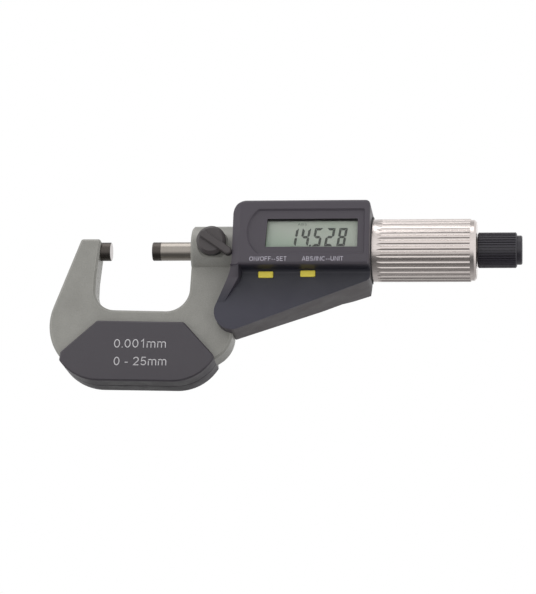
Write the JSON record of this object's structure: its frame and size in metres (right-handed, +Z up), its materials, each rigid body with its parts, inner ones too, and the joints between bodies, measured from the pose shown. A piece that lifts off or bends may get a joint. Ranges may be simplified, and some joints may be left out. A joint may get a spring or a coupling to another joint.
{
  "type": "outside micrometer",
  "caption": "Digital outside micrometer for measuring outside sizes between a fixed anvil and a screw-driven spindle, with display, lock and ratchet.",
  "frame": {"origin": "centre of the anvil's measuring face, on the spindle axis", "axes": "+X along the spindle axis towards the thimble, -Y out of the display, +Z up with the C of the frame hanging below the axis"},
  "size_m": [0.1598, 0.028, 0.0609],
  "materials": {
    "cast_paint": "fine hammered grey paint",
    "carbide": "ground hard tip",
    "ground_steel": "ground steel",
    "satin_steel": "satin chromed steel",
    "dark_moulding": "fine textured dark grey moulding",
    "grip_moulding": "fine textured dark grip plate",
    "knob_black": "near black moulded knob",
    "lever_black": "dark moulded lever",
    "key_yellow": "yellow moulded key",
    "clear_window": "clear flat window",
    "display_grey": "grey-green display glass",
    "board_green": "circuit board",
    "rubber_dark": "soft rubber",
    "brass_part": "turned brass",
    "cell_steel": "button cell can",
    "dark_screw": "blackened screws"
  },
  "bodies": {
    "frame": {"frame": "cast_paint", "anvil": "ground_steel", "anvil_tip": "carbide", "front_grip_plate": "grip_moulding", "rear_grip_plate": "grip_moulding", "spindle_bush": "ground_steel", "encoder_stator": "board_green", "encoder_washer": "ground_steel", "inner_sleeve": "ground_steel", "adjusting_nut": "ground_steel", "front_housing": "dark_moulding", "rear_housing": "dark_moulding", "housing_screws": "dark_screw", "frame_screws": "dark_screw", "thimble_wiper": "rubber_dark", "display_window": "clear_window", "display_glass": "display_grey", "upper_contact_strip": "rubber_dark", "lower_contact_strip": "rubber_dark", "display_board": "board_green", "main_board": "board_green", "board_cable": "brass_part", "button_pad": "rubber_dark", "battery": "cell_steel", "negative_contact": "ground_steel", "positive_contact": "ground_steel"},
    "rotor": {"encoder_rotor": "board_green", "rotor_key": "ground_steel"},
    "spindle": {"spindle": "ground_steel", "spindle_tip": "carbide", "thimble": "satin_steel", "ratchet_screw": "ground_steel", "ratchet_wheel": "ground_steel", "ratchet_retainer": "ground_steel"},
    "ratchet": {"ratchet_knob": "knob_black", "ratchet_pawl": "ground_steel", "ratchet_spring": "ground_steel", "ratchet_cap": "knob_black"},
    "lock": {"lock_lever": "lever_black", "lock_screw": "ground_steel"},
    "shoe": {"lock_shoe": "brass_part"},
    "on_off_button": {"on_off_button": "key_yellow"},
    "units_button": {"units_button": "key_yellow"},
    "cap_seal": {"cap_seal": "rubber_dark"},
    "battery_cap": {"battery_cap": "dark_moulding"}
  },
  "joints": [
    {"name": "thimble_turn", "type": "hinge", "parent": "frame", "child": "rotor", "pos_m": [0, 0, 0], "axis": [1, 0, 0], "range_deg": [-10460.3, 7540]},
    {"name": "spindle_advance", "type": "slide", "parent": "rotor", "child": "spindle", "axis": [1, 0, 0], "range_m": [-0.01453, 0.01047]},
    {"name": "ratchet_turn", "type": "hinge", "parent": "spindle", "child": "ratchet", "pos_m": [0.13, 0, 0], "axis": [1, 0, 0], "continuous": true},
    {"name": "lock_turn", "type": "hinge", "parent": "frame", "child": "lock", "pos_m": [0.0363, 0, 0], "axis": [0, 1, 0], "range_deg": [0, 60]},
    {"name": "shoe_press", "type": "slide", "parent": "frame", "child": "shoe", "axis": [0, 1, 0], "range_m": [0, 0.0000833]},
    {"name": "on_off_press", "type": "slide", "parent": "frame", "child": "on_off_button", "axis": [0, 1, 0], "range_m": [0, 0.0004], "stiffness_N_per_m": 2000},
    {"name": "units_press", "type": "slide", "parent": "frame", "child": "units_button", "axis": [0, 1, 0], "range_m": [0, 0.0004], "stiffness_N_per_m": 2000},
    {"name": "cap_lift", "type": "slide", "parent": "frame", "child": "cap_seal", "axis": [0, 1, 0], "range_m": [0, 0.00225]},
    {"name": "cap_turn", "type": "hinge", "parent": "cap_seal", "child": "battery_cap", "pos_m": [0.0515, 0, -0.0192], "axis": [0, 1, 0], "range_deg": [0, 1080]}
  ],
  "couplings": [
    {"joint": "thimble_turn", "follows": "spindle_advance", "rad_per_m": 12566},
    {"joint": "lock_turn", "follows": "shoe_press", "rad_per_m": 12566},
    {"joint": "cap_turn", "follows": "cap_lift", "rad_per_m": 8377.6}
  ]
}
